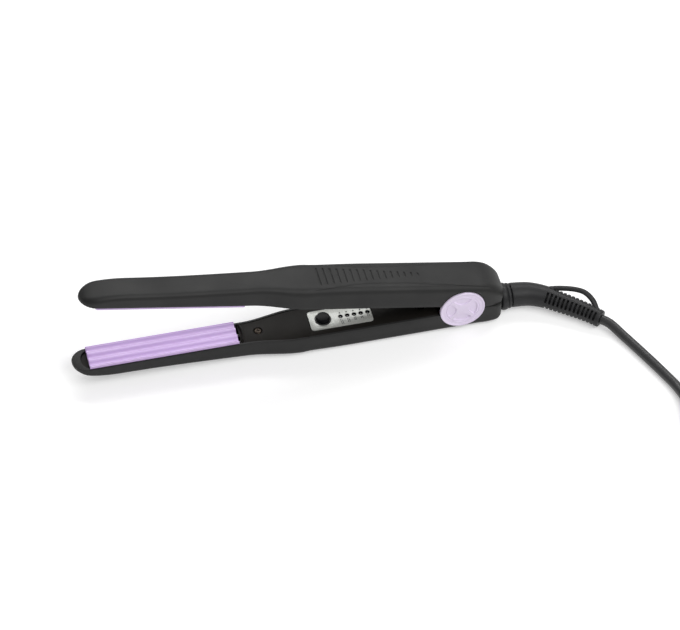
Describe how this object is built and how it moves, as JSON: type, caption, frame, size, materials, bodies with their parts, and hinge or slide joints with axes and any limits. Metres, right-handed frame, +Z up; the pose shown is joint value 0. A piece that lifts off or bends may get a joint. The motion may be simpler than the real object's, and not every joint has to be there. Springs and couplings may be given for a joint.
{
  "type": "hair crimper",
  "caption": "Hinged hair crimper with ribbed meshing plates, round hinge caps, a control strip with a push button, and a coiled cord on a swivel.",
  "frame": {"origin": "bottom centre of the open crimper without its free cord, on the surface it lies on", "axes": "+X from the crimp plates' tips towards the cord, along the lower arm; +Y away from the near hinge cap, along the hinge pin; +Z up, from the lower arm towards the upper arm"},
  "size_m": [0.4421, 0.1744, 0.0738],
  "materials": {
    "soft_touch_black": "soft-touch coated, matt",
    "inner_black": "heat-resistant moulding, satin",
    "lilac_plate": "smooth ceramic coating, satin",
    "lilac_cap": "pearly moulding, satin",
    "heater_aluminium": "plain",
    "steel": "plain",
    "dark_screw": "browned",
    "white_insulation": "silicone insulation",
    "red_insulation": "insulation, satin",
    "silver_panel": "silver lacquer with a fine sparkle",
    "gloss_black": "polished",
    "lens": "milky, translucent",
    "board_green": "lacquered",
    "component_grey": "plain",
    "black_rubber": "satin",
    "plug_brass": "plain"
  },
  "bodies": {
    "lower_arm": {"lower_shell": "soft_touch_black", "lower_inner_cover": "inner_black", "lower_plate_carrier": "inner_black", "lower_crimp_plate": "lilac_plate", "lower_heater": "heater_aluminium", "lower_heater_spring": "steel", "lower_heater_lead_near": "white_insulation", "lower_heater_lead_far": "white_insulation", "lower_cover_screw": "dark_screw", "thermal_fuse": "steel", "control_panel": "silver_panel", "button_bezel": "gloss_black", "led_lenses": "lens", "indicator_lights": "lens", "circuit_board": "board_green", "board_screw_front": "steel", "board_screw_rear": "steel", "capacitor": "component_grey", "control_chip": "gloss_black", "terminal_block": "component_grey", "button_switch": "gloss_black", "mains_lead_near": "red_insulation", "mains_lead_far": "red_insulation", "hinge_pin": "steel", "hinge_bush": "steel", "hinge_washer_near": "steel", "hinge_washer_far": "steel", "hinge_cap_near": "lilac_cap", "hinge_cap_far": "lilac_cap", "return_spring": "steel"},
    "upper_arm": {"upper_shell": "soft_touch_black", "upper_inner_cover": "inner_black", "upper_plate_carrier": "inner_black", "upper_crimp_plate": "lilac_plate", "upper_heater": "heater_aluminium", "upper_heater_spring": "steel", "upper_heater_lead_near": "white_insulation", "upper_heater_lead_far": "white_insulation", "upper_lead_splice_near": "steel", "upper_lead_splice_far": "steel", "upper_cover_screw": "dark_screw"},
    "button": {"power_button": "gloss_black"},
    "cord_swivel_body": {"swivel_collar": "soft_touch_black", "swivel_retaining_ring": "steel", "strain_relief": "black_rubber", "cord_run": "black_rubber", "cord_coil": "black_rubber", "cord_tie": "black_rubber", "cord_tail": "black_rubber", "plug_body": "black_rubber", "plug_pin_left": "plug_brass", "plug_pin_right": "plug_brass"}
  },
  "joints": [
    {"name": "arm_hinge", "type": "hinge", "parent": "lower_arm", "child": "upper_arm", "pos_m": [0.101, 0, 0.0176], "axis": [0, -1, 0], "range_deg": [0, 12.14], "stiffness_Nm_per_rad": 1, "springref_deg": -17.19, "deforming": ["return_spring"]},
    {"name": "power_button_press", "type": "slide", "parent": "lower_arm", "child": "button", "axis": [0, 0, -1], "range_m": [0, 0.0008], "stiffness_N_per_m": 400, "springref_m": -0.001},
    {"name": "cord_swivel", "type": "hinge", "parent": "lower_arm", "child": "cord_swivel_body", "pos_m": [0.1158, 0, 0.0085], "axis": [1, 0, 0], "continuous": true}
  ]
}
